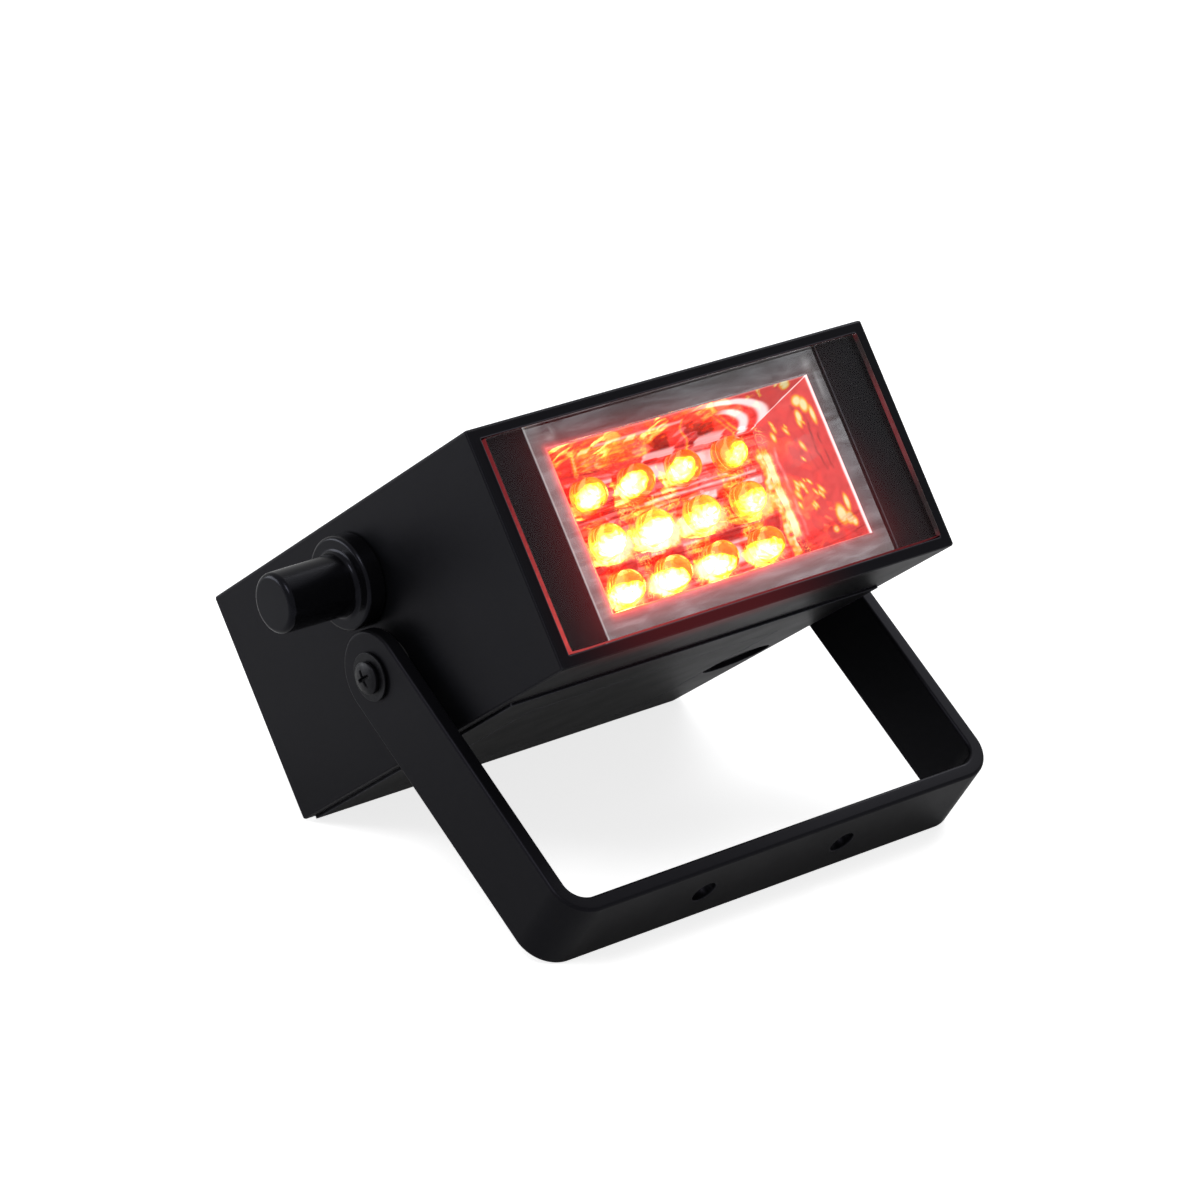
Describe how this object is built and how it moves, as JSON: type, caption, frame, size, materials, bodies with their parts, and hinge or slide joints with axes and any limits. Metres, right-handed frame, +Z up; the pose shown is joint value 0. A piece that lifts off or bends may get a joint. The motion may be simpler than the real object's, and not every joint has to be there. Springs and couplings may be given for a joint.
{
  "type": "strobe light",
  "caption": "Small box-shaped battery strobe light with lens-top red lamps behind a clear window, a speed knob on its side and a U-shaped tilting bracket.",
  "frame": {"origin": "middle of the footprint box, on the level that the bracket's bar and the rear edge of the underside stand on", "axes": "+X to the right seen from the front (the knob is at -X), +Y towards the rear, +Z up; the head leans back with its window up"},
  "size_m": [0.1536, 0.1404, 0.1176],
  "materials": {
    "black_plastic": "satin moulded ABS",
    "knob_plastic": "smooth satin",
    "clear_acrylic": "polished clear",
    "metallised_plastic": "vacuum-metallised, wavy",
    "red_lens": "clear red epoxy",
    "circuit_board": "satin solder mask",
    "chip_plastic": "matte",
    "cell_metal": "plain coloured jacket",
    "black_steel": "black oxide",
    "friction_rubber": "matte",
    "wire_insulation": "smooth PVC",
    "plated_steel": "bright zinc"
  },
  "bodies": {
    "bracket": {"bracket": "black_plastic"},
    "head": {"housing_shell": "black_plastic", "front_window": "clear_acrylic", "reflector": "metallised_plastic", "led_1_1": "red_lens", "led_1_2": "red_lens", "led_1_3": "red_lens", "led_1_4": "red_lens", "led_2_1": "red_lens", "led_2_2": "red_lens", "led_2_3": "red_lens", "led_2_4": "red_lens", "led_3_1": "red_lens", "led_3_2": "red_lens", "led_3_3": "red_lens", "led_3_4": "red_lens", "led_board": "circuit_board", "lamp_screw_left": "plated_steel", "lamp_screw_right": "plated_steel", "bottom_cover": "black_plastic", "cover_screw_1": "black_steel", "cover_screw_2": "black_steel", "battery_1": "cell_metal", "battery_2": "cell_metal", "battery_3": "cell_metal", "battery_4": "cell_metal", "contact_front_left": "plated_steel", "contact_front_right": "plated_steel", "contact_rear_left": "plated_steel", "contact_rear_middle": "plated_steel", "contact_rear_right": "plated_steel", "control_board": "circuit_board", "board_screw_1": "plated_steel", "board_screw_2": "plated_steel", "timer_ic": "chip_plastic", "timing_capacitor": "cell_metal", "drive_transistor": "chip_plastic", "speed_pot": "plated_steel", "pot_washer": "plated_steel", "pot_nut": "plated_steel", "pivot_washer_left": "black_steel", "friction_washer_left": "friction_rubber", "pivot_nut_left": "plated_steel", "pivot_screw_left": "black_steel", "pivot_washer_right": "black_steel", "friction_washer_right": "friction_rubber", "pivot_nut_right": "plated_steel", "pivot_screw_right": "black_steel", "lamp_lead_red": "wire_insulation", "lamp_lead_black": "wire_insulation", "power_lead_red": "wire_insulation", "power_lead_black": "wire_insulation", "pot_ribbon": "wire_insulation"},
    "speed_knob": {"knob": "knob_plastic", "pot_shaft": "plated_steel"},
    "door": {"battery_door": "black_plastic"}
  },
  "joints": [
    {"name": "head_tilt", "type": "hinge", "parent": "bracket", "child": "head", "pos_m": [0.00765, 0.0014, 0.05144], "axis": [1, 0, 0], "range_deg": [-105, 70]},
    {"name": "knob_turn", "type": "hinge", "parent": "head", "child": "speed_knob", "pos_m": [-0.06435, 0.01516, 0.06936], "axis": [1, 0, 0], "range_deg": [-140, 140]},
    {"name": "battery_door_swing", "type": "hinge", "parent": "head", "child": "door", "pos_m": [-0.03055, 0.00253, 0.02466], "axis": [0, 0.7932, -0.6089], "range_deg": [0, 95]}
  ]
}
